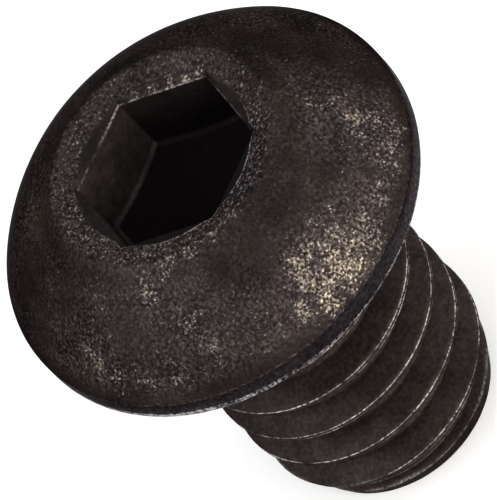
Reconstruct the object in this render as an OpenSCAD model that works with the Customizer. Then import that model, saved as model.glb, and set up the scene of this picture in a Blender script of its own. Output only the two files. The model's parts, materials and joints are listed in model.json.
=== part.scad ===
// Button-head screw with a hexagon socket, one piece of blackened steel.
// The origin is the centre of the bearing face under the head. The head is
// above it on +Z, and the shank hangs below it.

/* [Head] */
// Diameter of the head at its rim
head_d = 10.85; // [10:0.05:13]
// Height of the head from its bearing face to the outer edge of the land
head_h = 3.1; // [2.7:0.05:3.6]
// Height at which the dome would meet the straight side of the rim
rim_h = 0.72; // [0.5:0.02:1]
// Outer diameter of the dished land round the socket
land_d = 5.86; // [5.2:0.02:6.6]
// Rounding of the rim's lower edge
rim_round = 0.22; // [0.1:0.01:0.35]
// Rounding where the side of the rim turns into the dome
shoulder_round = 0.2; // [0.1:0.05:0.6]

/* [Socket] */
// Width of the hexagon across its flats
hex_flats = 4.06; // [3:0.01:4.2]
// Depth of the foot of the hexagon's corners below the land's outer edge
hex_depth = 2.1; // [1.6:0.05:2.2]
// Depth of the level ledge round the hexagon below the land's outer edge
ledge_depth = 0.28; // [0.26:0.01:0.4]
// Margin of the ledge round the hexagon's corners
ledge_margin = 0.02; // [0.02:0.01:0.06]
// Depth of the lip inside the dished land below the land's outer edge
lip_depth = 0.16; // [0.08:0.01:0.22]
// Width of the bevel that leads from the lip down to the ledge
lip_bevel = 0.06; // [0.03:0.01:0.1]
// Slope of the socket's conical floor, from level
floor_slope = 20; // [10:1:25]

/* [Shank] */
// Length of the shank from the bearing face to the tip
shank_l = 9; // [7:0.1:25]
// Diameter of the plain neck under the head
neck_d = 5.6; // [5.3:0.05:5.9]
// Length of the plain neck under the head
neck_l = 0.8; // [0.55:0.05:1.2]
// Diameter at which the fillet under the head meets the bearing face
fillet_d = 6.6; // [6.55:0.05:6.9]
// Diameter of the flat end of the tip
tip_d = 5.26; // [4.4:0.02:5.6]
// Length of the chamfer that leads up from the tip
tip_chamfer = 1.4; // [0.6:0.02:1.6]

/* [Thread] */
// Diameter over the thread's crests
thread_d = 6.35; // [6.1:0.01:6.5]
// Distance from one turn of the thread to the next
pitch = 1.27; // [1.1:0.01:1.4]
// Width of the flat on the thread's crest
crest_flat = 0.13; // [0.1:0.01:0.25]
// Width of the flat at the thread's root
root_flat = 0.32; // [0.2:0.01:0.4]
// Angle between the two flanks of the thread
thread_angle = 60; // [55:1:65]
// Angle about the axis at which the crest leaves the tip
thread_start = 198; // [0:1:360]
// Turns over which the groove runs out at the neck
runout_turns = 0.6; // [0.4:0.05:0.9]
// Slope of the last crest down to the neck, from the axis
crest_slope = 40; // [30:1:60]

/* [Hidden] */
$fn = 96;

// How far a cut or a join reaches past the surface that it meets
overlap = 0.2;

head_r = head_d / 2;
land_r = land_d / 2;
neck_r = neck_d / 2;
thread_r = thread_d / 2;
tip_r = tip_d / 2;
neck_fillet = (fillet_d - neck_d) / 2;

// The dome is a sphere through the land's edge and the top of the rim's side
dome_z = (land_r ^ 2 + head_h ^ 2 - head_r ^ 2 - rim_h ^ 2) / (2 * (head_h - rim_h));
dome_r = norm([land_r, head_h - dome_z]);

// The circle that rounds the rim's shoulder touches the side and the dome
shoulder_x = head_r - shoulder_round;
shoulder_z = dome_z + sqrt((dome_r - shoulder_round) ^ 2 - shoulder_x ^ 2);
shoulder_lean = atan2(shoulder_z - dome_z, shoulder_x);

hex_corner_r = hex_flats / 2 / cos(30);
ledge_r = hex_corner_r + ledge_margin;
lip_r = ledge_r + lip_bevel;
land_slope = lip_depth / (land_r - lip_r);
floor_z = head_h - hex_depth - hex_corner_r * tan(floor_slope);

// The groove between two crests, and how its cutter is stepped round the axis
flank_slope = thread_angle / 2;
thread_depth = (pitch - crest_flat - root_flat) / 2 / tan(flank_slope);
root_r = thread_r - thread_depth;
cutter_r = thread_r + overlap;
steps_per_turn = 48;
groove_bottom = -shank_l - pitch;
groove_top = -neck_l;
groove_steps = ceil((groove_top - groove_bottom) / pitch * steps_per_turn);
runout_steps = runout_turns * steps_per_turn;
runout_rise = neck_r - root_r + overlap;
// The groove's middle lies half a turn from the crest
groove_start = thread_start - 180;

// The crests end in a cone that leads down to the neck
crest_end_z = -neck_l - (thread_r - neck_r) / tan(crest_slope);

// Lift of the groove's root at one step of its helix, once it runs out
function root_lift(step) =
    let (left = groove_steps - step)
    left > runout_steps ? 0 : runout_rise * (1 - left / runout_steps);

// One point of the groove's cutter, at a radius and a height from its middle
function groove_point(step, radius, side) =
    let (turns = step / steps_per_turn)
    let (angle = groove_start + 360 * turns)
    let (reach = radius - root_r - root_lift(step))
    let (half_width = root_flat / 2 + max(reach, 0) * tan(flank_slope))
    [radius * cos(angle), radius * sin(angle), groove_bottom + pitch * turns + side * half_width];

// The four corners of the cutter's section, from the lower root round to the outside
function groove_section(step) =
    let (root = root_r + root_lift(step))
    let (outside = max(cutter_r, root + overlap))
    [
        groove_point(step, root, -1),
        groove_point(step, root, 1),
        groove_point(step, outside, 1),
        groove_point(step, outside, -1)
    ];

// The corner that a round edge takes away: the part of a square beyond a circle
module corner_off(radius, turn) {
    rotate(turn)
        difference() {
            square(radius + overlap);
            circle(r = radius);
        }
}

// Half of the head's section: rim, rounded edges, dome, dished land and ledge
module head_section() {
    difference() {
        intersection() {
            translate([0, dome_z])
                circle(r = dome_r);
            square([head_r, head_h + overlap]);
        }
        translate([head_r - rim_round, rim_round])
            corner_off(rim_round, -90);
        shoulder_off();
        mouth_off();
    }
}

// What the rounded shoulder takes off between the rim's side and the dome
module shoulder_off() {
    reach = shoulder_round + overlap;
    translate([shoulder_x, shoulder_z])
        difference() {
            polygon([
                [0, 0],
                [reach, 0],
                [reach, reach * tan(shoulder_lean / 2)],
                [reach * cos(shoulder_lean), reach * sin(shoulder_lean)]
            ]);
            circle(r = shoulder_round);
        }
}

// What the socket's mouth takes off the dome: the dished land, the lip and the ledge
module mouth_off() {
    top = head_h + 2 * overlap;
    polygon([
        [-overlap, head_h - ledge_depth],
        [ledge_r, head_h - ledge_depth],
        [lip_r, head_h - lip_depth],
        [land_r + 2 * overlap / land_slope, top],
        [-overlap, top]
    ]);
}

// Half of the shank's section before the thread is cut: neck, crest cylinder and tip
module shank_section() {
    polygon([
        [0, overlap],
        [neck_r, overlap],
        [neck_r, -neck_l],
        [thread_r, crest_end_z],
        [thread_r, tip_chamfer - shank_l],
        [tip_r, -shank_l],
        [0, -shank_l]
    ]);
    translate([neck_r, 0])
        neck_corner();
}

// The fillet that strengthens the corner between the neck and the bearing face
module neck_corner() {
    difference() {
        translate([-overlap, -neck_fillet])
            square([neck_fillet + overlap, neck_fillet + overlap]);
        translate([neck_fillet, -neck_fillet])
            circle(r = neck_fillet);
    }
}

// The helical groove that leaves the thread standing
module thread_groove() {
    points = [for (step = [0:groove_steps]) each groove_section(step)];
    sides = 4;
    walls = [
        for (step = [0:groove_steps - 1], k = [0:sides - 1])
            let (a = step * sides + k)
            let (b = step * sides + (k + 1) % sides)
            each [[a, a + sides, b + sides], [a, b + sides, b]]
    ];
    last = groove_steps * sides;
    ends = [[0, 1, 2, 3], [last + 3, last + 2, last + 1, last]];
    polyhedron(points, concat(walls, ends));
}

// The driving socket: a hexagon with a conical floor
module socket() {
    intersection() {
        cylinder(h = head_h + overlap, r = hex_corner_r, $fn = 6);
        translate([0, 0, floor_z])
            cylinder(h = head_h, r1 = 0, r2 = head_h / tan(floor_slope));
    }
}

// The whole screw, upset, threaded and blackened as one piece
module screw() {
    color([0.16, 0.14, 0.13])
        difference() {
            union() {
                rotate_extrude()
                    head_section();
                rotate_extrude()
                    shank_section();
            }
            thread_groove();
            socket();
        }
}

screw();
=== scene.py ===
# %% [markdown]
# # A blackened button-head screw
# The object is one screw: a low domed head with a hexagon socket, and a short shank with a coarse thread.
# It stands on its tip. The first cell loads its measured solid as a fixed frame, with the origin in the
# middle of the bearing face under the head, +Z up through the head and the thread hanging below. Everything
# is made in that frame, so no piece has to be moved into place afterwards.

# %% Load the frame
import json
import math

import bmesh
import bpy
from mathutils import Matrix, Vector, noise


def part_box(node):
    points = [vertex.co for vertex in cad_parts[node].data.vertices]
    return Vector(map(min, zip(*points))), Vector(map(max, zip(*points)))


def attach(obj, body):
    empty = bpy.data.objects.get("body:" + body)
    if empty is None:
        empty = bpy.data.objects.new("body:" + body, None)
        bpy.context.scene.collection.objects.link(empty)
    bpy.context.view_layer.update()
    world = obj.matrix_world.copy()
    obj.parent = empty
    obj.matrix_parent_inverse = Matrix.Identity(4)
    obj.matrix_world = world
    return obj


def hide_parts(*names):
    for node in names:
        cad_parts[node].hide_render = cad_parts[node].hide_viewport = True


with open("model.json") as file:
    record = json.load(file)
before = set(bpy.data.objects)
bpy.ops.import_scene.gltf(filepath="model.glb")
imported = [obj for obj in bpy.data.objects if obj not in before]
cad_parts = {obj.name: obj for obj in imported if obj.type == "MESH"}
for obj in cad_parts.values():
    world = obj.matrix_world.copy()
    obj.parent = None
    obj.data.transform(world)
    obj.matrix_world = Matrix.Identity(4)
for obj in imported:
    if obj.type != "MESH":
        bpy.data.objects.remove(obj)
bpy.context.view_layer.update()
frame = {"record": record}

scene = bpy.context.scene

# %% [markdown]
# ## The camera
# The photograph looks down on the head from the side, and it is tilted, so that the screw's axis runs from
# the upper left to the lower right. A camera could be placed by eye and nudged until it fits. Here its turn
# round the axis, its rise and its roll were measured from the outline of the rim, the land and the crests.
# The lens is very long, because near and far crests of the thread are almost the same size.

# %% Place the camera
PHOTO_WIDTH, PHOTO_HEIGHT = 497, 500
ORIGIN_PIXEL = (221.06, 219.06)
PIXELS_PER_METRE = 42040
VIEW_DISTANCE = 1 / 3
VIEW_TURN = math.radians(-26.8)
VIEW_RISE = math.radians(48.12)
VIEW_ROLL = math.radians(-44.11)
SENSOR_MM = 36

back = Vector((
    math.sin(VIEW_TURN) * math.cos(VIEW_RISE),
    -math.cos(VIEW_TURN) * math.cos(VIEW_RISE),
    math.sin(VIEW_RISE),
))
level_right = Vector((math.cos(VIEW_TURN), math.sin(VIEW_TURN), 0))
level_up = back.cross(level_right)
right = level_right * math.cos(VIEW_ROLL) + level_up * math.sin(VIEW_ROLL)
up = level_up * math.cos(VIEW_ROLL) - level_right * math.sin(VIEW_ROLL)

camera = bpy.data.objects.new("camera", bpy.data.cameras.new("camera"))
scene.collection.objects.link(camera)
scene.camera = camera
camera.data.sensor_width = SENSOR_MM
camera.data.lens = SENSOR_MM * PIXELS_PER_METRE * VIEW_DISTANCE / max(PHOTO_WIDTH, PHOTO_HEIGHT)
camera.data.clip_start, camera.data.clip_end = 0.01, 10
camera.matrix_world = Matrix((right, up, back)).transposed().to_4x4()
slide_right = (PHOTO_WIDTH / 2 - ORIGIN_PIXEL[0]) / PIXELS_PER_METRE
slide_up = (ORIGIN_PIXEL[1] - PHOTO_HEIGHT / 2) / PIXELS_PER_METRE
camera.location = back * VIEW_DISTANCE + right * slide_right + up * slide_up
print("lens:", round(camera.data.lens), "mm")

# %% [markdown]
# ## The sizes
# A screw is sized by a few numbers: the head, the key that drives it, the thread's diameter and its pitch.
# The largest ones are read from the frame, so that the model follows the solid, and the rest are written in
# millimetres. The mesh is modelled in millimetres too, and it is scaled to metres at the end, because
# tolerances such as the distance for merging doubles are easier to think about at that size.

# %% Measure the solid
MM = 0.001
low, high = (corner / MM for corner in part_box("screw"))
mounts = {mount["name"]: mount for mount in frame["record"]["mounts"]}
print("mounts:", sorted(mounts))

head_r = high.x
head_h = high.z
tip_z = low.z
RIM_H = 0.72
LAND_R = 2.93
RIM_ROUND = 0.22
SHOULDER_ROUND = 0.2
BEARING_R = 3.3
NECK_R = 2.8
NECK_L = 0.8
print("head", round(2 * head_r, 2), "x", round(head_h, 2), "mm, shank", round(-tip_z, 2), "mm")

# %% [markdown]
# ## The head
# The real head is upset from wire in a die, so it is round about one axis. It could be a squashed sphere,
# but then its land, rim and fillet would have to be cut in afterwards. A half outline that is drawn once
# and spun about the axis gives them all at once, with rings of edges wherever a rounding is wanted. The
# outline is drawn by pulling one vertex along it: an extrude makes a straight stretch, and a spin about a
# centre makes an arc.

# %% Draw half of the head's outline
SOCKET_FLATS = 4.06
LIP_R = 2.32
LIP_MARGIN = 0.1
DISH_FROM = 2.5
DISH_SLOPE = 0.295
DOME_STEPS = 40
FILLET_STEPS = 8
JOIN_GAP = 0.1

socket_corner_r = SOCKET_FLATS / 2 / math.cos(math.radians(30))
dome_z = (LAND_R ** 2 + head_h ** 2 - head_r ** 2 - RIM_H ** 2) / (2 * (head_h - RIM_H))
dome_from = math.atan2(LAND_R, head_h - dome_z)
dome_to = math.atan2(head_r, RIM_H - dome_z)


def dish_z(radius):
    """Height of the dished land at a distance from the axis."""
    return head_h - (LAND_R - radius) * DISH_SLOPE


def draw_line(bm, vert, x, z):
    """Pulls the outline from vert to a new place and returns its new end."""
    end = bmesh.ops.extrude_vert_indiv(bm, verts=[vert])["verts"][0]
    end.co = (x, 0, z)
    return end


def draw_arc(bm, vert, centre_x, centre_z, angle, steps):
    """Swings the outline about a centre and returns its new end."""
    made = bmesh.ops.spin(
        bm, geom=[vert], cent=(centre_x, 0, centre_z), axis=(0, 1, 0), angle=angle, steps=steps
    )
    return next(item for item in made["geom_last"] if isinstance(item, bmesh.types.BMVert))


screw = bmesh.new()
pen = screw.verts.new((DISH_FROM, 0, dish_z(DISH_FROM)))
for share in (0.25, 0.5, 0.75, 1):
    dish_r = DISH_FROM + (LAND_R - DISH_FROM) * share
    pen = draw_line(screw, pen, dish_r, dish_z(dish_r))
pen = draw_arc(screw, pen, 0, dome_z, dome_to - dome_from, DOME_STEPS)
pen = draw_line(screw, pen, head_r, RIM_H / 2)
pen = draw_line(screw, pen, head_r, 0)
pen = draw_line(screw, pen, (head_r + BEARING_R) / 2, 0)
pen = draw_line(screw, pen, BEARING_R, 0)
pen = draw_arc(screw, pen, BEARING_R, NECK_R - BEARING_R, -math.pi / 2, FILLET_STEPS)
pen = draw_line(screw, pen, NECK_R, JOIN_GAP - NECK_L)
print("outline vertices:", len(screw.verts))

# %% Spin the outline and round its edges
HEAD_STEPS = 288
LAND_SOFTNESS = 0.1
NEAR = 1e-3


def reach(vert):
    """Distance of a vertex from the screw's axis."""
    return math.hypot(vert.co.x, vert.co.y)


def ring(bm, radius, height):
    """Edges of the ring at one radius and height."""
    on = {v for v in bm.verts if abs(reach(v) - radius) < NEAR and abs(v.co.z - height) < NEAR}
    return [edge for edge in bm.edges if on.issuperset(edge.verts)]


def round_off(bm, edges, offset, segments):
    """Rounds edges, with a circular section."""
    return bmesh.ops.bevel(
        bm, geom=edges, offset=offset, affect="EDGES", segments=segments, profile=0.5, material=-1
    )


bmesh.ops.spin(
    screw,
    geom=screw.verts[:] + screw.edges[:],
    cent=(0, 0, 0),
    axis=(0, 0, 1),
    angle=math.tau,
    steps=HEAD_STEPS,
    use_merge=True,
)
bmesh.ops.remove_doubles(screw, verts=screw.verts, dist=NEAR / 10)
bmesh.ops.recalc_face_normals(screw, faces=screw.faces)
shoulder_turn = math.pi / 2 - dome_to
round_off(screw, ring(screw, LAND_R, head_h), LAND_SOFTNESS, 4)
round_off(screw, ring(screw, head_r, RIM_H), SHOULDER_ROUND * math.tan(shoulder_turn / 2), 3)
round_off(screw, ring(screw, head_r, 0), RIM_ROUND, 9)
print("head faces:", len(screw.faces))

# %% [markdown]
# ## The socket
# The hexagon is punched into the dished land, and the punch leaves a conical floor. The round lip of the
# mouth is only a little wider than the hexagon's corners, so six thin crescents show between them. A boolean
# cut would leave long thin faces round the mouth. Here the ring of the lip is extruded inwards instead, and
# each vertex is slid along its own ray until it lies on the hexagon. The same ring then goes down the walls
# and in over the floor, so all the faces stay in neat columns.

# %% Find places on the socket's surfaces
FLOOR_SLOPE = math.radians(20)
socket_top = mounts["key_socket"]["pos_m"][2] / MM
socket_depth = mounts["key_socket"]["dims"]["length_mm"]
floor_z = socket_top - socket_depth - socket_corner_r * math.tan(FLOOR_SLOPE)


def hexagon_reach(place):
    """How far the hexagon reaches from the axis in the direction of a place."""
    turn = math.atan2(place.y, place.x) % math.radians(60)
    return SOCKET_FLATS / 2 / math.cos(turn - math.radians(30))


def lip_reach(place):
    """How far the mouth's lip reaches: round, but pushed out at the hexagon's corners."""
    return max(LIP_R, hexagon_reach(place) + LIP_MARGIN)


def carry_on(bm, edges, place):
    """Extrudes a ring of edges, puts its new vertices in place and returns the new ring."""
    made = bmesh.ops.extrude_edge_only(bm, edges=edges)["geom"]
    for vert in (item for item in made if isinstance(item, bmesh.types.BMVert)):
        r, z = place(vert.co)
        turn = math.atan2(vert.co.y, vert.co.x)
        vert.co = (r * math.cos(turn), r * math.sin(turn), z)
    return [item for item in made if isinstance(item, bmesh.types.BMEdge) and item.is_boundary]


def on_dish(margin):
    """Place on the dished land, a margin outside the lip."""
    def place(co):
        r = lip_reach(co) + margin
        return r, dish_z(r)
    return place


def on_crescent(share):
    """Place on the way from the lip in to the hexagon's level edge."""
    def place(co):
        lip_r = lip_reach(co)
        lip_z = dish_z(lip_r)
        return lip_r + (hexagon_reach(co) - lip_r) * share, lip_z + (socket_top - lip_z) * share
    return place


def on_wall(depth):
    """Place on the hexagon's wall, a depth below its level edge."""
    return lambda co: (hexagon_reach(co), socket_top - depth)


def on_floor(share, lift=0):
    """Place on the conical floor or a lift above it, at a share of the hexagon's reach."""
    def place(co):
        r = hexagon_reach(co) * share
        return r, floor_z + r * math.tan(FLOOR_SLOPE) + lift
    return place


print("socket from", round(socket_top, 2), "down to", round(floor_z, 2), "mm")

# %% Punch the socket
LIP_ROUND = 0.02
EDGE_ROUND = 0.015
# Rings close beside the lip and the edge, which keep the worn lines on them thin
LIP_GUARD = 0.035
EDGE_GUARD = 0.05
CRESCENT_SHARES = (0.3, 0.7)
# The ridge at the foot of the walls: shares of the hexagon's reach, and lifts above the floor's cone
FOOT = ((1, 0.5), (1, 0.11), (0.99, 0.055), (0.975, 0.025), (0.96, 0.008), (0.945, 0))
FLOOR_SHARES = (0.8, 0.6, 0.4, 0.2, 0.05)

dish_ring = carry_on(screw, ring(screw, DISH_FROM, dish_z(DISH_FROM)), on_dish(LIP_GUARD))
lip_ring = carry_on(screw, dish_ring, on_crescent(0))
crescent_ring = lip_ring
for share in CRESCENT_SHARES:
    crescent_ring = carry_on(screw, crescent_ring, on_crescent(share))
hexagon_ring = carry_on(screw, crescent_ring, on_crescent(1))
floor_ring = carry_on(screw, hexagon_ring, on_wall(EDGE_GUARD))
for share, lift in FOOT:
    floor_ring = carry_on(screw, floor_ring, on_floor(share, lift))
for share in FLOOR_SHARES:
    floor_ring = carry_on(screw, floor_ring, on_floor(share))
bmesh.ops.pointmerge(
    screw, verts=list({v for edge in floor_ring for v in edge.verts}), merge_co=(0, 0, floor_z)
)
round_off(screw, lip_ring, LIP_ROUND, 3)
round_off(screw, hexagon_ring, EDGE_ROUND, 2)
print("faces of the head and the socket:", len(screw.faces))

# %% [markdown]
# ## The thread
# The thread is rolled: two dies press the groove into the shank, and the metal that they push aside stands
# up as the crest. A stack of rings would look like a thread from far away, but its crests wouldn't climb.
# A spin with a lift at every step makes the true helix. One pitch of the section is drawn and spun for one
# turn. Copies of that turn are stacked a pitch apart, and they merge where the end of one section meets the
# start of the next, which is much quicker than one long spin.

# %% Draw one pitch of the thread
PITCH = 1.27
CREST_FLAT = 0.13
ROOT_FLAT = 0.32
FLANK_SLOPE = math.radians(30)
THREAD_START = math.radians(198)
FLANK_SHARES = (0.12, 0.25, 0.38, 0.5, 0.62, 0.74, 0.86, 0.965, 1)

thread_r = mounts["threaded_shank"]["dims"]["r_mm"]
root_r = thread_r - (PITCH - CREST_FLAT - ROOT_FLAT) / 2 / math.tan(FLANK_SLOPE)

thread = bmesh.new()
pen = thread.verts.new((root_r, 0, -PITCH / 2))
pen = draw_line(thread, pen, root_r, (ROOT_FLAT - PITCH) / 2)
for share in FLANK_SHARES:
    pen = draw_line(
        thread,
        pen,
        root_r + (thread_r - root_r) * share,
        (ROOT_FLAT - PITCH) / 2 * (1 - share) - CREST_FLAT / 2 * share,
    )
pen = draw_line(thread, pen, thread_r, 0)
for share in (*reversed(FLANK_SHARES), 0):
    pen = draw_line(
        thread,
        pen,
        root_r + (thread_r - root_r) * share,
        (PITCH - ROOT_FLAT) / 2 * (1 - share) + CREST_FLAT / 2 * share,
    )
pen = draw_line(thread, pen, root_r, PITCH / 2)
print("one pitch:", len(thread.verts), "vertices, root radius", round(root_r, 3), "mm")

# %% Spin one turn and stack its copies
TURN_STEPS = 160
CREST_ROUND = 0.016
ROOT_ROUND = 0.14

turns = math.ceil(-tip_z / PITCH) + 2
bmesh.ops.rotate(thread, verts=thread.verts, matrix=Matrix.Rotation(THREAD_START, 3, "Z"))
bmesh.ops.translate(thread, verts=thread.verts, vec=(0, 0, tip_z - PITCH))
bmesh.ops.spin(
    thread,
    geom=thread.verts[:] + thread.edges[:],
    cent=(0, 0, 0),
    axis=(0, 0, 1),
    dvec=(0, 0, PITCH / TURN_STEPS),
    angle=math.tau,
    steps=TURN_STEPS,
)
turn_parts = thread.verts[:] + thread.edges[:] + thread.faces[:]
for turn in range(1, turns):
    copied = bmesh.ops.duplicate(thread, geom=turn_parts)["geom"]
    copied_verts = [item for item in copied if isinstance(item, bmesh.types.BMVert)]
    bmesh.ops.translate(thread, verts=copied_verts, vec=(0, 0, PITCH * turn))
bmesh.ops.remove_doubles(thread, verts=thread.verts, dist=NEAR / 10)
bmesh.ops.recalc_face_normals(thread, faces=thread.faces)


def helix_height(vert):
    """Height of a vertex above the nearest crest, within half a pitch."""
    turn = (math.atan2(vert.co.y, vert.co.x) - THREAD_START) / math.tau
    rise = (vert.co.z - tip_z) / PITCH - turn
    return (rise - round(rise)) * PITCH


def helix_edges(bm, radius, height):
    """Edges that run along the helix at one radius and at one height on either side of the crest."""
    on = {
        v for v in bm.verts
        if abs(reach(v) - radius) < NEAR and abs(abs(helix_height(v)) - height) < NEAR
    }
    return [edge for edge in bm.edges if on.issuperset(edge.verts) and len(edge.link_faces) == 2]


round_off(thread, helix_edges(thread, thread_r, CREST_FLAT / 2), CREST_ROUND, 2)
round_off(thread, helix_edges(thread, root_r, (PITCH - ROOT_FLAT) / 2), ROOT_ROUND, 4)
print("thread faces:", len(thread.faces))

# %% [markdown]
# ## The ends of the thread
# At the tip the shank is chamfered, so that it finds its hole, and under the head the groove runs out into
# a plain neck. Both ends are shaped by limits on the radius. A cone at the tip and a cone at the neck hold
# the crests down, and near the neck the root is lifted until it meets them. Flat cuts then trim the turns
# that stand past the ends.

# %% Trim the thread to the shank
TIP_R = 2.63
TIP_CHAMFER = 1.4
CREST_SLOPE = math.radians(40)
CREST_LEAD = (thread_r - NECK_R) / math.tan(CREST_SLOPE)
ROOT_LEAD = 0.6 * PITCH

for vert in thread.verts:
    above_tip = max(vert.co.z - tip_z, 0)
    below_neck = max(-NECK_L - vert.co.z, 0)
    cap = min(
        TIP_R + (thread_r - TIP_R) * above_tip / TIP_CHAMFER,
        NECK_R + (thread_r - NECK_R) * below_neck / CREST_LEAD,
    )
    lift = max(1 - below_neck / ROOT_LEAD, 0)
    lowest = root_r + (NECK_R - root_r) * lift
    radius = reach(vert)
    factor = max(min(radius, cap), lowest) / radius
    vert.co.x *= factor
    vert.co.y *= factor
for height, side in ((-NECK_L, 1), (tip_z, -1)):
    bmesh.ops.bisect_plane(
        thread,
        geom=thread.verts[:] + thread.edges[:] + thread.faces[:],
        dist=NEAR / 10,
        plane_co=(0, 0, height),
        plane_no=(0, 0, side),
        clear_outer=True,
    )
loose = [v for v in thread.verts if not v.link_faces]
bmesh.ops.delete(thread, geom=loose, context="VERTS")
print("thread from", round(min(v.co.z for v in thread.verts), 2), "to",
      round(max(v.co.z for v in thread.verts), 2), "mm")

# %% Close the tip and join the thread to the neck
TIP_SHARES = (0.9, 0.75, 0.5, 0.25, 0.05)

tip_ring = [edge for edge in thread.edges if edge.is_boundary and edge.verts[0].co.z < tip_z + NEAR]
face_ring = tip_ring
for share in TIP_SHARES:
    made = bmesh.ops.extrude_edge_only(thread, edges=face_ring)["geom"]
    face_verts = [item for item in made if isinstance(item, bmesh.types.BMVert)]
    face_ring = [item for item in made if isinstance(item, bmesh.types.BMEdge) and item.is_boundary]
    for vert in face_verts:
        factor = TIP_R * share / reach(vert)
        vert.co = (vert.co.x * factor, vert.co.y * factor, tip_z)
bmesh.ops.pointmerge(thread, verts=face_verts, merge_co=(0, 0, tip_z))

thread_mesh = bpy.data.meshes.new("thread_part")
thread.to_mesh(thread_mesh)
thread.free()
screw.from_mesh(thread_mesh)
bpy.data.meshes.remove(thread_mesh)
open_rings = [edge for edge in screw.edges if edge.is_boundary]
bmesh.ops.bridge_loops(screw, edges=open_rings)
bmesh.ops.remove_doubles(screw, verts=screw.verts, dist=NEAR / 10)
bmesh.ops.recalc_face_normals(screw, faces=screw.faces)
print("open edges:", sum(not edge.is_manifold for edge in screw.edges), "faces:", len(screw.faces))

# %% [markdown]
# ## Small unevenness
# No forged and rolled surface is perfect. The dome is very slightly wavy where the die pressed it, and the
# crests of a rolled thread close up from both sides, so they carry a fine seam and their height wanders.
# A texture could fake this, but the seam splits the light on the crest into two lines, so it is worth real
# vertices. Noise that depends only on the place gives the same result on every run.

# %% Make the surfaces uneven
DOME_WAVE = 0.9
DOME_WAVE_DEPTH = 0.006
CREST_WANDER = 0.22
CREST_WANDER_DEPTH = 0.014
CREST_SEAM_DEPTH = 0.012
SEAM_WANDER = 0.5
TIP_CLEAR = 0.08


def wander(place, size):
    """Smooth noise from -1 to 1 that changes over a distance of about size."""
    return noise.noise(place / size)


screw.normal_update()
moves = []
for vert in screw.verts:
    radius = reach(vert)
    if vert.co.z > 0 and radius > DISH_FROM:
        depth = DOME_WAVE_DEPTH * (wander(vert.co, DOME_WAVE) - 1) / 2
        moves.append((vert, vert.normal * depth))
    elif tip_z + TIP_CLEAR < vert.co.z < -NECK_L - CREST_LEAD and radius > thread_r - CREST_ROUND:
        on_seam = 1 - min(abs(helix_height(vert)) / (CREST_FLAT / 4), 1)
        seam = CREST_SEAM_DEPTH * on_seam * (0.6 + 0.4 * wander(vert.co, SEAM_WANDER))
        drop = CREST_WANDER_DEPTH * (wander(vert.co, CREST_WANDER) - 1) / 2
        outwards = Vector((vert.co.x, vert.co.y, 0)) / radius
        moves.append((vert, outwards * (drop - seam)))
for vert, move in moves:
    vert.co += move
print("uneven vertices:", len(moves))

# %% [markdown]
# ## Where the black is thin, and where light and shade are painted
# The black oxide is only a skin. It is rubbed thin on the edges that stand out, and in places on the dome
# where the screw has rolled against others. Painting this by hand would take long, and a noise texture
# alone would put wear in the hollows too. So five numbers are kept at every vertex, for the materials to
# read later: how worn an edge is, with the painted highlights and reflections on some edges; how near a
# place is to a rubbed one, and on the rim's side how much painted reflection it gets; where the blasted
# grain was ironed smooth again, which also gets a painted shade; how much the place belongs to the dished
# land; and how much painted shade the socket gets there. The places are marked by their angle and distance
# from the axis, as one would mark them on the screw with chalk.

# %% Choose the rubbed and the smooth places
# Each rubbed place: angle round the axis in degrees, distance from the axis, size and strength
RUBBED = (
    (-111, 4.58, 0.35, 0.9), (-110, 4.97, 0.45, 0.95), (-112, 5.26, 0.35, 0.9), (-118, 5.05, 0.3, 0.85),
    (-103, 4.5, 0.4, 0.8), (-102, 4.92, 0.45, 0.85), (-104, 5.2, 0.4, 0.85), (-99, 5.2, 0.4, 0.85),
    (-96, 4.47, 0.35, 0.55), (-95, 4.95, 0.4, 0.75), (-92, 5.25, 0.35, 0.75), (-91, 4.56, 0.3, 0.5),
    (-85, 4.65, 0.28, 0.35), (-89, 5.04, 0.35, 0.7), (-81, 5.09, 0.3, 0.65), (-76, 5.12, 0.28, 0.6),
    (-70, 5.21, 0.28, 0.65), (-65, 5.16, 0.3, 0.65), (-58, 5.25, 0.28, 0.65), (-57, 5.0, 0.28, 0.55),
    (-57, 4.58, 0.32, 1.05), (-63, 4.62, 0.25, 0.6), (-52, 4.3, 0.35, 0.5), (-53, 3.81, 0.3, 0.5),
    (-47, 3.44, 0.25, 0.5), (-161, 3.4, 0.4, 0.65), (-154, 3.23, 0.3, 0.55), (-150, 2.95, 0.3, 0.7),
    (-138, 2.95, 0.28, 0.75), (-125, 2.85, 0.25, 0.75), (-112, 2.75, 0.25, 0.75), (-147, 4.3, 0.4, 0.6),
    (-145, 4.72, 0.35, 0.55), (-132, 4.4, 0.6, 0.25), (173, 4.65, 0.35, 0.55), (177, 4.85, 0.35, 0.6),
    (-177, 5.05, 0.3, 0.55), (-167, 5.07, 0.3, 0.55), (-158, 5.0, 0.3, 0.5), (4, 2.35, 0.18, 0.85),
    (13, 2.22, 0.2, 0.85), (24, 2.17, 0.2, 0.85), (36, 2.17, 0.2, 0.8), (48, 2.22, 0.18, 0.7),
)
# Each smooth place, which also gets a painted shade, in the same way
SMOOTH_AND_SHADE = (
    (40, 4.4, 1.6, 0.3), (-7, 3.5, 0.7, 0.9), (-18, 4.0, 0.8, 0.9), (-29, 4.4, 0.7, 0.85),
    (-40, 4.95, 0.5, 0.8), (-30, 3.15, 0.4, 0.7), (-79, 3.45, 0.5, 0.95), (-92, 3.75, 0.5, 0.9),
    (-80, 4.05, 0.45, 0.9), (-74, 4.85, 0.2, 0.8), (95, 4.6, 1.4, 0.3), (140, 4.4, 0.8, 0.8),
    (151, 4.9, 0.5, 0.8), (160, 3.8, 0.6, 0.7), (-170, 4.2, 0.5, 0.7), (-129, 3.6, 0.55, 0.9),
    (-115, 3.75, 0.6, 0.95), (-101, 3.7, 0.55, 0.95),
)


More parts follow.
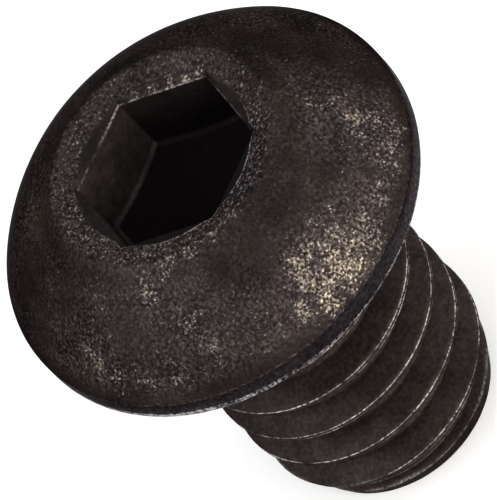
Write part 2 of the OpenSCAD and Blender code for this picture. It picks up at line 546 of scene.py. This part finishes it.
def strongest(places, co):
    """The strongest pull of a list of places on a point of the head."""
    pull = 0
    for angle, radius, size, strength in places:
        turn = math.radians(angle)
        gap = math.hypot(co.x - radius * math.cos(turn), co.y - radius * math.sin(turn))
        pull = max(pull, strength * math.exp(-(gap / size) ** 2))
    return pull


print("rubbed places:", len(RUBBED), "smooth places:", len(SMOOTH_AND_SHADE))

# %% [markdown]
# ## Worn edges and painted highlights
# The wear of an edge could come from its bend alone, but then every edge would be worn alike. On the real
# screw the upper edge of each crest is bare along almost all that shows, and the lower one in stretches.
# Some
# of the lines are painted light: a painted highlight grows on the crest's lower edge towards the right, the
# line on the rim's lower edge is partly a painted reflection of the floor, and the lines on the lip's near
# side and on the edges of the hexagon's walls are painted highlights.
# The rim's lower edge has a thin line on the near side that grows broader to the left, and each wall of the
# hexagon has a line of its own. So the lines are given here, and the bend gives only what is left.

# %% Find walls, bends and directions
def wall_number(place):
    """Number of the hexagon's wall in the direction of a place, counted from 0 round the axis."""
    return int(math.atan2(place.y, place.x) % math.tau / math.radians(60)) % 6


def bend(vert):
    """The sharpest outward bend at a vertex, in radians a millimetre."""
    sharpest = 0
    for edge in vert.link_edges:
        if len(edge.link_faces) == 2:
            one, other = (face.calc_center_median() for face in edge.link_faces)
            across = (one - other).length
            sharpest = max(sharpest, edge.calc_face_angle_signed() / max(across, NEAR))
    return sharpest


def ramp(value, from_value, width):
    """Goes from 0 to 1 over a width, starting at a value."""
    return min(max((value - from_value) / width, 0), 1)


def in_direction(co, turn):
    """How far a place lies in a direction round the axis, from 0 behind to 1 in front."""
    return max(math.cos(math.atan2(co.y, co.x) - turn), 0)


screw.normal_update()
print("sharpest bend:", round(max(bend(vert) for vert in screw.verts)), "radians a millimetre")

# %% Say how worn each edge is
# A bend that counts as sharp, in radians a millimetre
SHARP_BEND = 7.0
LAND_EDGE_WEAR = 0.3
TIP_WEAR = 0.55
# The lower edge of the crest: its wear, its painted highlight that grows towards the right, and how far it
# wanders
LOWER_EDGE_WEAR, LOWER_EDGE_RIGHT_HIGHLIGHT, LOWER_EDGE_WANDER = 0.3, 0.3, 0.6
LOWER_EDGE_STRETCH = 1.5
NECK_CLEAR, NECK_BLEND = 0.5, 0.6
# The line on the rim's lower edge: partly wear, partly a painted reflection of the floor
RIM_LINE_Z = 0.15
RIM_LINE_WIDTH = 0.065
RIM_LINE_GROWTH = 0.05
RIM_LINE_BLEND = math.radians(25)
THIN_RIM_WEAR_AND_REFLECTION = 0.75
FAR_LIP_WEAR = 0.35
# The side that faces the camera, round the axis, where the lip's painted highlight and the rim's line are
# strongest
NEAR_SIDE_TURN = math.radians(-117)
RIGHT_TURN = math.radians(-63)
# The painted highlight line on the edge of each wall of the hexagon, round the axis
PAINTED_EDGE_HIGHLIGHT = (0.75, 1.0, 0.35, 0.0, 0.0, 0.6)


def crest_wear_and_highlight(vert):
    """Wear of the thread: a thin line on the crest's upper edge, and parts of the lower one, with a painted
    highlight.
    """
    if vert.co.z < tip_z + TIP_CHAMFER:
        return TIP_WEAR * min(bend(vert) / SHARP_BEND, 1)
    side = helix_height(vert)
    on_edge = CREST_FLAT / 4 < abs(side) < CREST_FLAT / 2 + CREST_ROUND / 4
    if reach(vert) < thread_r - 4 * CREST_ROUND or not on_edge:
        return 0
    strength = 1
    # The lower edge: wear in stretches, and a painted highlight that grows towards the right
    if side <= 0:
        to_the_right = in_direction(vert.co, RIGHT_TURN)
        stretches = LOWER_EDGE_WANDER * wander(vert.co, LOWER_EDGE_STRETCH)
        strength = LOWER_EDGE_WEAR + LOWER_EDGE_RIGHT_HIGHLIGHT * to_the_right + stretches
    return strength * ramp(-vert.co.z, NECK_L + NECK_CLEAR, NECK_BLEND)


def rim_wear_and_reflection(co):
    """Wear and painted floor reflection on the rim's lower edge: a thin line, and a broad one left of the
    near side.
    """
    past_near = (NEAR_SIDE_TURN - math.atan2(co.y, co.x)) % math.tau
    left = ramp(past_near, 0, RIM_LINE_BLEND) if past_near < math.pi else 0
    height = RIM_LINE_Z + RIM_LINE_GROWTH * left
    width = RIM_LINE_WIDTH + RIM_LINE_GROWTH * left
    strength = THIN_RIM_WEAR_AND_REFLECTION + (1 - THIN_RIM_WEAR_AND_REFLECTION) * left
    return strength * math.exp(-((co.z - height) / width) ** 2)


def edge_wear_and_highlight(vert):
    """Wear and painted highlight of an edge: by its bend, but given directly where the screw has a line of
    its own.
    """
    co = vert.co
    radius = reach(vert)
    if co.z < -NECK_L:
        return crest_wear_and_highlight(vert)
    # The rim's lower edge: wear and a painted reflection of the floor
    if radius > head_r - RIM_ROUND:
        return rim_wear_and_reflection(co)
    # The edge of each wall of the hexagon: a painted highlight line
    if abs(radius - hexagon_reach(co)) < 2 * EDGE_ROUND and abs(co.z - socket_top) < 2 * EDGE_ROUND:
        return PAINTED_EDGE_HIGHLIGHT[wall_number(co)]
    # The lip: wear on the far side, growing to a full painted highlight on the near side
    if abs(radius - lip_reach(co)) < 1.2 * LIP_ROUND and co.z > socket_top:
        return FAR_LIP_WEAR + (1 - FAR_LIP_WEAR) * in_direction(co, NEAR_SIDE_TURN)
    return LAND_EDGE_WEAR * min(bend(vert) / SHARP_BEND, 1) if co.z > RIM_H else 0


# Walls whose edge gets a painted highlight line
print("edges of the hexagon with a worn line:", sum(line > 0 for line in PAINTED_EDGE_HIGHLIGHT))

# %% [markdown]
# ## Numbers at the vertices
# The head's numbers go on the dome, the land and the thin crescents beside the hexagon. The rim's side gets
# a painted grey reflection towards the right and a little on the left. In the socket each wall gets a
# painted shade of its own, darker the deeper it lies, and the crescents outside the near walls, which lie in
# their own shade, get as much painted shade as the walls.

# %% Keep the five numbers at the vertices
SHOULDER_FROM = 5.15
SHOULDER_BLEND = 0.2
LAND_BLEND = 0.12
# The land is duller on the side that faces this way, by this share
LAND_DULL_TURN = math.radians(45)
LAND_DULL = 0.7
# The ring outside the land that the die ironed, which also gets a painted shade of a hollow
IRONED_SHADE_R, IRONED_SHADE_WIDTH, IRONED_SHADE_STRENGTH = 3.25, 0.3, 0.6
# Where the rim's side gets a painted reflection: angle and spread in degrees, and strength
RIM_PAINTED_REFLECTIONS = ((-63, 26, 1.0), (-168, 22, 0.4))
# For each wall of the hexagon, round the axis: painted shade on it, at its foot and on the crescent outside
# it
WALL_PAINTED_SHADE = (0.75, 0.3, 0.45, 0.6, 0.6, 0.6)
FOOT_PAINTED_SHADE = (0.8, 0.1, 0.2, 0.8, 0.8, 0.8)
CRESCENT_PAINTED_SHADE = (0.0, 0.0, 0.8, 1.0, 1.0, 0.0)
# How much more painted shade the walls get towards their foot, and the depth at which that starts
DEEP_PAINTED_SHADE, DEEP_FROM = 0.4, 0.2
# Shares of the hexagon's reach: just outside it, on its wall, and where the ridge of the foot ends
OUTSIDE, ON_WALL, FOOT_END = 1.01, 0.995, 0.975
FOOT_BLEND = 0.025

wear_and_highlight = screw.verts.layers.float.new("wear_and_highlight")
rubbed_and_rim_reflection = screw.verts.layers.float.new("rubbed_and_rim_reflection")
smooth_and_shade = screw.verts.layers.float.new("smooth_and_shade")
land = screw.verts.layers.float.new("land")
painted_shade = screw.verts.layers.float.new("painted_shade")
for vert in screw.verts:
    vert[wear_and_highlight] = edge_wear_and_highlight(vert)
    radius = reach(vert)
    inside = radius / hexagon_reach(vert.co)
    if vert.co.z > socket_top - EDGE_ROUND or (vert.co.z > RIM_H - NEAR and inside > OUTSIDE):
        vert[rubbed_and_rim_reflection] = strongest(RUBBED, vert.co)
        inner = ramp(lip_reach(vert.co) + LIP_GUARD - radius, 0, LIP_GUARD - LIP_ROUND)
        # Ironed places: the smooth places, the shoulder, the ring round the land and the lip, all with a
        # painted shade
        ironed_and_shaded = max(
            strongest(SMOOTH_AND_SHADE, vert.co),
            ramp(radius, SHOULDER_FROM, SHOULDER_BLEND),
            IRONED_SHADE_STRENGTH * math.exp(-((radius - IRONED_SHADE_R) / IRONED_SHADE_WIDTH) ** 2),
            inner,
        )
        vert[smooth_and_shade] = ironed_and_shaded * (1 - vert[rubbed_and_rim_reflection])
        inwards = ramp(LAND_R + LAND_BLEND / 2 - radius, 0, LAND_BLEND)
        vert[land] = inwards * (1 - inner) * (1 - LAND_DULL * in_direction(vert.co, LAND_DULL_TURN))
        # The crescents outside the near walls get a painted shade
        vert[painted_shade] = inner * CRESCENT_PAINTED_SHADE[wall_number(vert.co)]
    # The rim's side: a painted grey reflection towards the right and a little on the left
    elif radius > head_r - RIM_ROUND and 0 <= vert.co.z < RIM_H - SHOULDER_ROUND:
        turn = math.degrees(math.atan2(vert.co.y, vert.co.x))
        vert[rubbed_and_rim_reflection] = max(rub_and_reflection * math.exp(-((turn - at) / spread) ** 2) for at, spread, rub_and_reflection in RIM_PAINTED_REFLECTIONS)
    # Walls and floor of the socket: a painted shade for each wall, darker the deeper it lies
    elif vert.co.z > floor_z - NEAR and inside < OUTSIDE:
        wall = wall_number(vert.co)
        if inside > ON_WALL:
            deep = ramp(socket_top - vert.co.z, DEEP_FROM, socket_depth)
            vert[painted_shade] = min(WALL_PAINTED_SHADE[wall] + DEEP_PAINTED_SHADE * deep, 1)
        else:
            vert[painted_shade] = max(FOOT_PAINTED_SHADE[wall], ramp(FOOT_END - inside, 0, FOOT_BLEND))
print("worn vertices:", sum(vert[wear_and_highlight] > 0.5 for vert in screw.verts))

# %% [markdown]
# ## One mesh with four finishes
# The screw is one piece of steel, so it stays one mesh. Each face only carries the number of its finish,
# which follows from where it lies, and the mesh takes the place of the plain solid in the frame.

# %% Finish the mesh
SHARP_ANGLE = math.radians(40)
HEAD_SKIN, RIM_SKIN, THREAD_SKIN, SOCKET_SKIN = range(4)

for face in screw.faces:
    middle = face.calc_center_median()
    radius = math.hypot(middle.x, middle.y)
    in_socket = middle.z < socket_top and radius < hexagon_reach(middle) + NEAR
    # Crescents outside the near walls lie in their own shade and take the socket's finish with its painted
    # shade
    in_shade = CRESCENT_PAINTED_SHADE[wall_number(middle)] > 0 and radius < lip_reach(middle) - LIP_ROUND
    if middle.z > floor_z - NEAR and (in_socket or in_shade):
        face.material_index = SOCKET_SKIN
    elif middle.z > RIM_H - SHOULDER_ROUND / 4:
        face.material_index = HEAD_SKIN
    elif middle.z > -NEAR:
        face.material_index = RIM_SKIN
    else:
        face.material_index = THREAD_SKIN
bmesh.ops.scale(screw, vec=(MM, MM, MM), verts=screw.verts)
mesh = bpy.data.meshes.new("blackened_screw")
screw.to_mesh(mesh)
screw.free()
mesh.shade_smooth()
mesh.set_sharp_from_angle(angle=SHARP_ANGLE)
piece = bpy.data.objects.new("blackened_screw", mesh)
scene.collection.objects.link(piece)
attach(piece, "root")
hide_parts("screw")
mesh.calc_loop_triangles()
print("triangles:", len(mesh.loop_triangles))

# %% [markdown]
# ## The black skin
# Black oxide is a very dark grey, a little purple in some patches and a little olive in others, and it is
# grainy, because it grows on metal that was blasted and tumbled. A single colour would look like plastic.
# One group mixes two tones by soft noise. A second group takes any colour and makes it grainy, and doubles
# or halves it rather than adding to it, so that dark places stay dark. Every material of the screw uses both
# with tones and sizes of its own. Sizes are thought of in millimetres, and a noise texture on Object
# coordinates wants its scale in steps a metre.

# %% Helpers for nodes
def fill(tree, socket, value):
    """Links a socket to another one, or gives it a plain value."""
    if isinstance(value, bpy.types.NodeSocket):
        tree.links.new(value, socket)
    else:
        socket.default_value = value


def put(tree, kind, values=None, **settings):
    """Adds a node, sets its properties, and fills its inputs."""
    node = tree.nodes.new(kind)
    for name, value in settings.items():
        setattr(node, name, value)
    for name, value in (values or {}).items():
        fill(tree, node.inputs[name], value)
    return node


def new_group(name, inputs, outputs):
    """Starts a shader group from (name, kind, value) inputs and (name, kind) outputs."""
    group = bpy.data.node_groups.new(name, "ShaderNodeTree")
    for label, kind, value in inputs:
        group.interface.new_socket(label, in_out="INPUT", socket_type=kind).default_value = value
    for label, kind in outputs:
        group.interface.new_socket(label, in_out="OUTPUT", socket_type=kind)
    return group, put(group, "NodeGroupInput").outputs, put(group, "NodeGroupOutput").inputs


print("helpers for nodes are ready")


# %% Helpers for colours and numbers
def mix_colour(tree, factor, one, other):
    """Mixes two colours and returns the resulting socket."""
    node = put(tree, "ShaderNodeMix", data_type="RGBA")
    for index, value in ((0, factor), (6, one), (7, other)):
        fill(tree, node.inputs[index], value)
    return node.outputs[2]


def between(tree, value, low_end, high_end):
    """Maps a value smoothly to 0 at its low end and to 1 at its high end."""
    return put(
        tree, "ShaderNodeMapRange",
        {"Value": value, "From Min": low_end, "From Max": high_end}, interpolation_type="SMOOTHSTEP",
    ).outputs[0]


def calculate(tree, operation, one, other):
    """One step of arithmetic."""
    node = put(tree, "ShaderNodeMath", operation=operation)
    fill(tree, node.inputs[0], one)
    fill(tree, node.inputs[1], other)
    return node.outputs[0]


def add_up(tree, value, factor, rest):
    """A value times a factor, plus the rest."""
    node = put(tree, "ShaderNodeMath", operation="MULTIPLY_ADD")
    for socket, amount in zip(node.inputs, (value, factor, rest)):
        fill(tree, socket, amount)
    return node.outputs[0]


def scaled(tree, colour, factor):
    """A colour times a factor."""
    return put(
        tree, "ShaderNodeVectorMath", {"Vector": colour, "Scale": factor}, operation="SCALE"
    ).outputs[0]


print("helpers for colours and numbers are ready")


# %% Helpers for what changes over the surface
def vertex_value(tree, name):
    """A number that was kept at every vertex."""
    return put(tree, "ShaderNodeAttribute", attribute_name=name).outputs["Fac"]


def speckle(tree, scale, detail=2.0, roughness=0.55):
    """Noise on Object coordinates."""
    at = put(tree, "ShaderNodeTexCoord").outputs["Object"]
    return put(
        tree, "ShaderNodeTexNoise",
        {"Vector": at, "Scale": scale, "Detail": detail, "Roughness": roughness},
    ).outputs[0]


def per_metre(size_mm):
    """Scale of a noise whose blobs are about size_mm across."""
    return 1 / (size_mm * MM)


print("a noise of 0.1 mm has the scale", round(per_metre(0.1)))

# %% Groups of the skin and the grain
COLOUR, NUMBER = "NodeSocketColor", "NodeSocketFloat"

skin_group, given, result = new_group(
    "black_skin",
    [("Dark", COLOUR, (0.01, 0.01, 0.01, 1)), ("Light", COLOUR, (0.03, 0.03, 0.03, 1)),
     ("Patches per metre", NUMBER, 1000.0)],
    [("Color", COLOUR)],
)
patch = between(skin_group, speckle(skin_group, given["Patches per metre"], 3.0), 0.3, 0.7)
fill(skin_group, result["Color"], mix_colour(skin_group, patch, given["Dark"], given["Light"]))

grain_group, given, result = new_group(
    "grain",
    [("Color", COLOUR, (0.03, 0.03, 0.03, 1)), ("Grains per metre", NUMBER, 15000.0),
     ("Contrast", NUMBER, 6.0)],
    [("Color", COLOUR), ("Height", NUMBER)],
)
grains = speckle(grain_group, given["Grains per metre"], 1.5)
doublings = calculate(
    grain_group, "MULTIPLY", calculate(grain_group, "SUBTRACT", grains, 0.5), given["Contrast"]
)
fill(grain_group, result["Color"],
     scaled(grain_group, given["Color"], calculate(grain_group, "POWER", 2.0, doublings)))
fill(grain_group, result["Height"], grains)
print("groups:", skin_group.name, grain_group.name)

# %% [markdown]
# ## Bare edges and painted highlights
# Along a sharp edge the skin is chipped away, and the steel shows as a thin broken line. Some edges carry
# painted highlights and reflections as well. A line drawn in a texture would have to follow every edge. The
# wear and painted highlight kept at the vertices already know where the edges are, so this group only has to
# break them into chips and into longer and shorter stretches. It puts out its mask too, because the
# scratched steel there is duller than a clean mirror.

# %% Group of the bare edge and its painted highlight
CHIP_MM = 0.09
STRETCH_MM = 0.8

edge_group, given, result = new_group(
    "bare_edge_and_highlight",
    [("Skin", COLOUR, (0.02, 0.02, 0.02, 1)), ("Bare_and_highlight", COLOUR, (0.3, 0.28, 0.25, 1)),
     ("Amount", NUMBER, 1.0)],
    [("Color", COLOUR), ("Mask", NUMBER)],
)
chips = between(edge_group, speckle(edge_group, per_metre(CHIP_MM), 3.0, 0.65), 0.36, 0.62)
stretches = between(edge_group, speckle(edge_group, per_metre(STRETCH_MM)), 0.3, 0.65)
mask = between(edge_group, vertex_value(edge_group, "wear_and_highlight"), 0.25, 0.95)
for part in (chips, stretches, given["Amount"]):
    mask = calculate(edge_group, "MULTIPLY", mask, part)
mask = calculate(edge_group, "MINIMUM", mask, 1.0)
fill(edge_group, result["Color"], mix_colour(edge_group, mask, given["Skin"], given["Bare_and_highlight"]))
fill(edge_group, result["Mask"], mask)
print("group:", edge_group.name)

# %% [markdown]
# ## Four finishes of one skin
# The head was blasted and is coarse, the rim was ironed smooth by the die, the thread was rolled smooth, and
# the socket is darkened with a painted shade. All four are the same skin on the same steel, so one function
# makes them and only the numbers differ. Black oxide reflects like a dark metal, and its reflection stays
# dark even at a glancing angle, so the edge tint of the shader is turned down as well.

# %% Make the four finishes
EDGE_TINT = (0.4, 0.4, 0.4, 1)
GRAIN_DEPTH = 8e-6
GRAIN_STRENGTH = 0.7
HEAD_CONTRAST = 6.2


def black_metal(name, dark, light, patch_mm, grain_mm, contrast, bare_and_highlight, amount, roughness):
    """A finish of skin, bare and highlit edges, and grain; returns its tree, shader, edge outputs and grain
    inputs.
    """
    material = bpy.data.materials.new(name)
    material.use_nodes = True
    tree = material.node_tree
    shader = tree.nodes["Principled BSDF"]
    shader.inputs["Metallic"].default_value = 1
    shader.inputs["Roughness"].default_value = roughness
    shader.inputs["Specular Tint"].default_value = EDGE_TINT
    skin = put(tree, "ShaderNodeGroup", node_tree=skin_group)
    fill(tree, skin.inputs["Dark"], (*dark, 1))
    fill(tree, skin.inputs["Light"], (*light, 1))
    fill(tree, skin.inputs["Patches per metre"], per_metre(patch_mm))
    edge = put(tree, "ShaderNodeGroup", node_tree=edge_group)
    fill(tree, edge.inputs["Skin"], skin.outputs["Color"])
    fill(tree, edge.inputs["Bare_and_highlight"], (*bare_and_highlight, 1))
    fill(tree, edge.inputs["Amount"], amount)
    grain = put(tree, "ShaderNodeGroup", node_tree=grain_group)
    fill(tree, grain.inputs["Color"], edge.outputs["Color"])
    fill(tree, grain.inputs["Grains per metre"], per_metre(grain_mm))
    fill(tree, grain.inputs["Contrast"], contrast)
    fill(tree, shader.inputs["Base Color"], grain.outputs["Color"])
    bump = put(tree, "ShaderNodeBump", {
        "Strength": GRAIN_STRENGTH, "Distance": GRAIN_DEPTH, "Height": grain.outputs["Height"],
    })
    fill(tree, shader.inputs["Normal"], bump.outputs[0])
    mesh.materials.append(material)
    return tree, shader, edge.outputs, grain.inputs


head_tree, head_shader, head_edge, head_grain = black_metal(
    "grained_head", dark=(0.027, 0.021, 0.0213), light=(0.0395, 0.031, 0.0276), patch_mm=1.3,
    grain_mm=0.082, contrast=HEAD_CONTRAST, bare_and_highlight=(0.5, 0.47, 0.47), amount=1.0, roughness=0.5)
rim_tree, rim_shader, rim_edge, rim_grain = black_metal(
    "smooth_rim", dark=(0.0112, 0.0093, 0.0102), light=(0.0182, 0.0149, 0.0159), patch_mm=0.6,
    grain_mm=0.09, contrast=3.5, bare_and_highlight=(0.23, 0.208, 0.216), amount=1.8, roughness=0.45)
thread_tree, thread_shader, thread_edge, _ = black_metal(
    "rolled_thread", dark=(0.0245, 0.0188, 0.0182), light=(0.038, 0.0294, 0.0268), patch_mm=0.8,
    grain_mm=0.1, contrast=2.2, bare_and_highlight=(0.57, 0.52, 0.48), amount=1.0, roughness=0.5)
socket_tree, socket_shader, socket_edge, socket_grain = black_metal(
    "socket_wall", dark=(0.026, 0.021, 0.021), light=(0.042, 0.034, 0.0335), patch_mm=0.7,
    grain_mm=0.14, contrast=2.0, bare_and_highlight=(0.5, 0.45, 0.38), amount=1.4, roughness=0.6)
print("finishes:", [finish.name for finish in mesh.materials])

# %% [markdown]
# ## Dull steel and a painted reflection on the rim
# Where the skin is gone, the steel is scratched and dull, and a pure metal would mirror the windows there in
# hard white lines. So the bare edges, and the painted highlights on edges, are made only partly metallic.
# The side of the rim gets a painted grey reflection on the right and on the left, which is a third colour
# laid between its skin and its bare edge.

# %% Dull the bare edges and paint a reflection on the rim
PAINTED_RIM_REFLECTION = (0.055, 0.048, 0.051, 1)

for tree, shader, edge, dullness in (
    (head_tree, head_shader, head_edge, 0.6),
    (rim_tree, rim_shader, rim_edge, 0.9),
    (thread_tree, thread_shader, thread_edge, 0.6),
):
    fill(tree, shader.inputs["Metallic"], add_up(tree, edge["Mask"], -dullness, 1.0))
# The painted reflection on the rim's side, kept off the line on its lower edge
off_the_edge_line = calculate(rim_tree, "SUBTRACT", 1.0, rim_edge["Mask"])
rim_painted_reflection = calculate(rim_tree, "MULTIPLY", vertex_value(rim_tree, "rubbed_and_rim_reflection"), off_the_edge_line)
fill(rim_tree, rim_grain["Color"], mix_colour(rim_tree, rim_painted_reflection, rim_edge["Color"], PAINTED_RIM_REFLECTION))
print("nodes in the rim's finish:", len(rim_tree.nodes))

# %% [markdown]
# ## Sparkle on the head
# The blasted grain of the head is rubbed bright on its high points: sparsely all over, more on the land, and
# so densely at the rubbed places that only the hollows stay black. One noise with a threshold gives all of
# these, when the threshold sinks as the rubbing grows. A second, larger noise frays the rubbed places. Where
# the head was ironed smooth, at the shoulder and round the land, there is less grain and hardly any sparkle,
# and a painted shade darkens it.
# Faint tool marks run round the axis, so wear and tone are drawn out in streaks and bands along such rings.
# Noise gets that form when it reads the angle and the distance from the axis as its place.

# %% Draw streaks and bands round the axis
STREAK_MM, STREAKS_PER_RADIAN = 0.16, 7.0
BAND_MM, BANDS_PER_RADIAN = 0.4, 2.5

object_place = put(head_tree, "ShaderNodeTexCoord").outputs["Object"]
axes = put(head_tree, "ShaderNodeSeparateXYZ", {"Vector": object_place}).outputs
round_the_axis = calculate(head_tree, "ARCTAN2", axes["Y"], axes["X"])
y_squared = calculate(head_tree, "MULTIPLY", axes["Y"], axes["Y"])
squared = add_up(head_tree, axes["X"], axes["X"], y_squared)
from_the_axis = calculate(head_tree, "SQRT", squared, 0.0)


def ring_noise(width_mm, per_radian):
    """Noise drawn out along rings round the axis."""
    along = put(head_tree, "ShaderNodeCombineXYZ", {
        "X": calculate(head_tree, "MULTIPLY", from_the_axis, per_metre(width_mm)),
        "Y": calculate(head_tree, "MULTIPLY", round_the_axis, per_radian),
    }).outputs[0]
    return put(
        head_tree, "ShaderNodeTexNoise", {"Vector": along, "Scale": 1.0, "Detail": 2.0}
    ).outputs[0]


streaks = ring_noise(STREAK_MM, STREAKS_PER_RADIAN)
bands = ring_noise(BAND_MM, BANDS_PER_RADIAN)
print("streaks", STREAK_MM, "mm wide, bands", BAND_MM, "mm wide")

# %% Rub the grain of the head bright
HEAD_EDGE_TINT = (0.12, 0.12, 0.12, 1)
SPARKLE_MM = 0.066
FRAY_MM = 0.45
FRAYING = 0.75
LAND_RUB = 0.36
# How rubbing lifts a grain and ironing lowers it, and the heights between which it turns bright
RUB_LIFT, IRON_DROP = 0.22, 0.1
BRIGHT_FROM, BRIGHT_TO = 0.61, 0.84
DULL_SPARKLE = (0.2, 0.181, 0.19, 1)
RUBBED_SPARKLE = (0.212, 0.176, 0.132, 1)
BAND_DOUBLINGS = 1.3
# The head's tone, and how much the painted shade darkens the ironed places
HEAD_TONE, IRONED_PAINTED_SHADE = 1.03, 0.4
RUBBED_CONTRAST, IRONED_CONTRAST = 1.5, 4.6

high_points = speckle(head_tree, per_metre(SPARKLE_MM), 1.5, 0.5)
frays = speckle(head_tree, per_metre(FRAY_MM), 3.0, 0.6)
uneven = add_up(head_tree, calculate(head_tree, "ADD", frays, streaks), FRAYING, -FRAYING)
smoothness_and_shade = vertex_value(head_tree, "smooth_and_shade")
rubbing = calculate(head_tree, "ADD", vertex_value(head_tree, "rubbed_and_rim_reflection"), uneven)
rub_and_reflection = between(head_tree, rubbing, 0.05, 1.0)
land_rub = calculate(head_tree, "MULTIPLY", vertex_value(head_tree, "land"), LAND_RUB)
wear = calculate(head_tree, "MAXIMUM", rub_and_reflection, land_rub)
raised = add_up(head_tree, smoothness_and_shade, -IRON_DROP, add_up(head_tree, wear, RUB_LIFT, high_points))
bright = between(head_tree, raised, BRIGHT_FROM, BRIGHT_TO)
metal = mix_colour(head_tree, rub_and_reflection, DULL_SPARKLE, RUBBED_SPARKLE)
doubled = add_up(head_tree, bands, BAND_DOUBLINGS, -BAND_DOUBLINGS / 2)
banded = calculate(head_tree, "POWER", 2.0, doubled)
# Painted shade on the ironed places
ironed_painted_shade = add_up(head_tree, smoothness_and_shade, -IRONED_PAINTED_SHADE, HEAD_TONE)
tone = calculate(head_tree, "MULTIPLY", banded, ironed_painted_shade)
toned_skin = scaled(head_tree, head_edge["Color"], tone)
fill(head_tree, head_grain["Color"], mix_colour(head_tree, bright, toned_skin, metal))
ironed_contrast = add_up(head_tree, smoothness_and_shade, -IRONED_CONTRAST, HEAD_CONTRAST)
fill(head_tree, head_grain["Contrast"], add_up(head_tree, rub_and_reflection, RUBBED_CONTRAST, ironed_contrast))
head_shader.inputs["Specular Tint"].default_value = HEAD_EDGE_TINT
print("nodes in the head's finish:", len(head_tree.nodes))

# %% [markdown]
# ## The depth of the socket
# The socket is darkened with a painted shade, set for each wall and growing towards the bottom, so that it
# is almost black there, while the upper part of the walls and the ridge at their foot are dull grey. This
# finish isn't metallic, so it scatters light instead of mirroring it. The number kept at the vertices sets
# the painted shade.

# %% Paint shade into the socket
PAINTED_SHADE_COLOUR = (0.0042, 0.0028, 0.0031, 1)

socket_shader.inputs["Metallic"].default_value = 0
socket_shader.inputs["Specular IOR Level"].default_value = 0.04
# The painted shade of the socket, mixed into its colour
painted_shade_mask = vertex_value(socket_tree, "painted_shade")
fill(socket_tree, socket_grain["Color"], mix_colour(socket_tree, painted_shade_mask, socket_edge["Color"], PAINTED_SHADE_COLOUR))
print("socket is", round(socket_depth, 2), "mm deep")

# %% [markdown]
# ## The floor and the light
# The photograph is taken on white, in soft light. The floor is a plain white sheet. More light would make it
# white, but it would bleach the screw too. So it is lifted to full white only where a ray comes straight
# from the camera or from a mirrored surface, and it still takes the screw's soft shadow. The surroundings
# are treated alike, and as a light they are brighter on the camera's side than behind the screw. Three soft
# windows give the sparkle: a warm one in front, a small one on the right and a cool one high on the left.

# %% Lay the floor
FLOOR_SIZE = 6
FLOOR_LIFT = 0.25
WHITE = (1, 1, 1, 1)


def seen_directly(tree):
    """1 for rays from the camera, a mirrored surface or a clear one, and 0 for the rest."""
    rays = put(tree, "ShaderNodeLightPath").outputs
    mirrored = calculate(tree, "MAXIMUM", rays["Is Glossy Ray"], rays["Is Transmission Ray"])
    return calculate(tree, "MAXIMUM", rays["Is Camera Ray"], mirrored)


floor_mesh = bpy.data.meshes.new("floor")
plane = bmesh.new()
bmesh.ops.create_grid(plane, x_segments=1, y_segments=1, size=FLOOR_SIZE / 2)
bmesh.ops.translate(plane, verts=plane.verts, vec=(0, 0, tip_z * MM))
plane.to_mesh(floor_mesh)
plane.free()
floor = bpy.data.objects.new("floor", floor_mesh)
scene.collection.objects.link(floor)
sheet = bpy.data.materials.new("white_sheet")
sheet.use_nodes = True
sheet_tree = sheet.node_tree
sheet_shader = sheet_tree.nodes["Principled BSDF"]
sheet_shader.inputs["Base Color"].default_value = (0.92, 0.92, 0.92, 1)
sheet_shader.inputs["Roughness"].default_value = 0.9
whitening = calculate(sheet_tree, "MULTIPLY", seen_directly(sheet_tree), FLOOR_LIFT)
fill(sheet_tree, sheet_shader.inputs["Emission Strength"], whitening)
sheet_shader.inputs["Emission Color"].default_value = WHITE
floor_mesh.materials.append(sheet)
print("floor at", round(tip_z, 2), "mm")

# %% Light the surroundings
FAR_GLOW = (0.7, 0.7, 0.73, 1)
NEAR_GLOW = (0.97, 0.96, 0.95, 1)


def towards(azimuth, elevation):
    """Unit vector to a direction, in degrees round from the front and up from level."""
    a, e = math.radians(azimuth), math.radians(elevation)
    return Vector((math.sin(a) * math.cos(e), -math.cos(a) * math.cos(e), math.sin(e)))


world = bpy.data.worlds.new("studio")
scene.world = world
world.use_nodes = True
sky = world.node_tree
direction = put(sky, "ShaderNodeTexCoord").outputs["Generated"]
facing = put(sky, "ShaderNodeVectorMath", operation="DOT_PRODUCT")
fill(sky, facing.inputs[0], direction)
fill(sky, facing.inputs[1], towards(-29, 40))
glow = mix_colour(sky, between(sky, facing.outputs["Value"], -0.6, 0.7), FAR_GLOW, NEAR_GLOW)
surroundings = mix_colour(sky, seen_directly(sky), glow, WHITE)
fill(sky, sky.nodes["Background"].inputs["Color"], surroundings)
print("surroundings:", world.name)


# %% Hang the windows
def softbox(name, azimuth, elevation, distance, width, height, radiance, colour):
    """A soft lamp that faces the screw, placed by its direction and given its brightness."""
    lamp = bpy.data.lights.new(name, "AREA")
    lamp.shape = "RECTANGLE"
    lamp.size, lamp.size_y = width, height
    lamp.energy = radiance * math.pi * width * height
    lamp.color = colour
    holder = bpy.data.objects.new(name, lamp)
    holder.location = towards(azimuth, elevation) * distance
    holder.rotation_euler = towards(azimuth, elevation).to_track_quat("Z", "Y").to_euler()
    scene.collection.objects.link(holder)
    print("lamp:", name, round(lamp.energy, 3), "W")


softbox("front_window", -8, 24, 0.3, 0.24, 0.15, 4.0, (1, 0.95, 0.87))
softbox("side_window", 60, 14, 0.3, 0.14, 0.12, 2.5, (1, 0.97, 0.94))
softbox("left_window", -115, 52, 0.3, 0.2, 0.16, 2.0, (0.93, 0.96, 1))
scene.view_settings.view_transform = "Standard"
